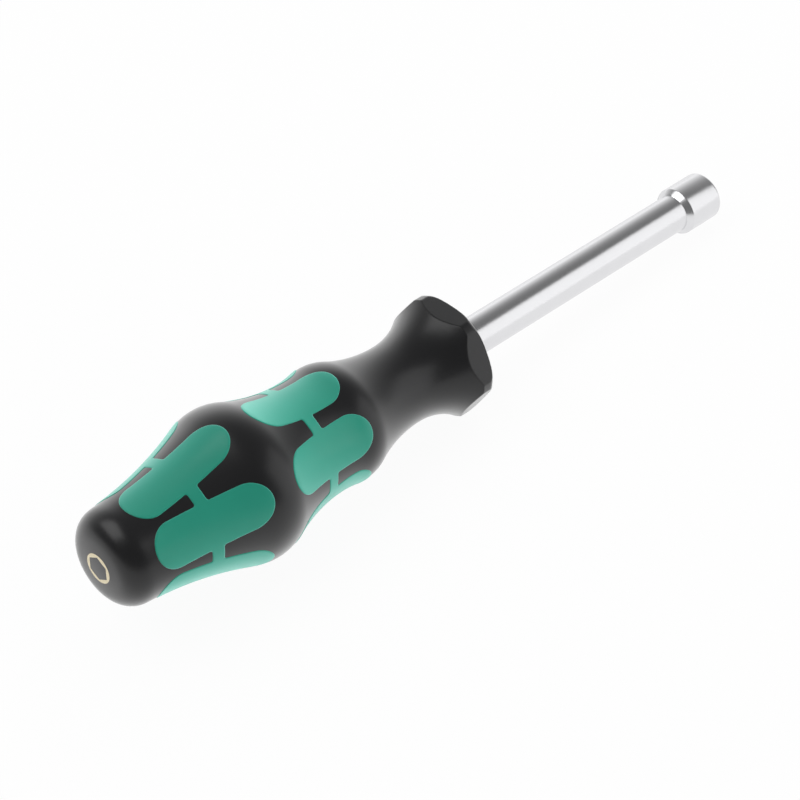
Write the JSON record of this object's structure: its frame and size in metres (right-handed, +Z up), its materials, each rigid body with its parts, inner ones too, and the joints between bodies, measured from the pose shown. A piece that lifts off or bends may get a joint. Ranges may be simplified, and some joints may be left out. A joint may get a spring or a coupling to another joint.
{
  "type": "nut driver",
  "caption": "Hand nut driver: hollow chromed shaft with a hexagonal socket, and a contoured hard handle with inlaid soft pads and a six-sided collar that stops it rolling.",
  "frame": {"origin": "Centre of the socket's mouth, in the plane of its front face.", "axes": "+X runs along the tool and out of the mouth. +Z is up, with one flat of the collar and one row of soft pads facing straight down. +Y completes the right-handed set."},
  "size_m": [0.195, 0.037, 0.037],
  "materials": {
    "chromed_steel": "satin",
    "core_plastic": "matte",
    "hard_black": "satin",
    "soft_green": "matte"
  },
  "bodies": {
    "root": {"shaft": "chromed_steel", "socket_head": "chromed_steel", "handle_core": "core_plastic", "handle_body": "hard_black", "rear_grip": "soft_green", "front_grip": "soft_green"}
  },
  "joints": []
}
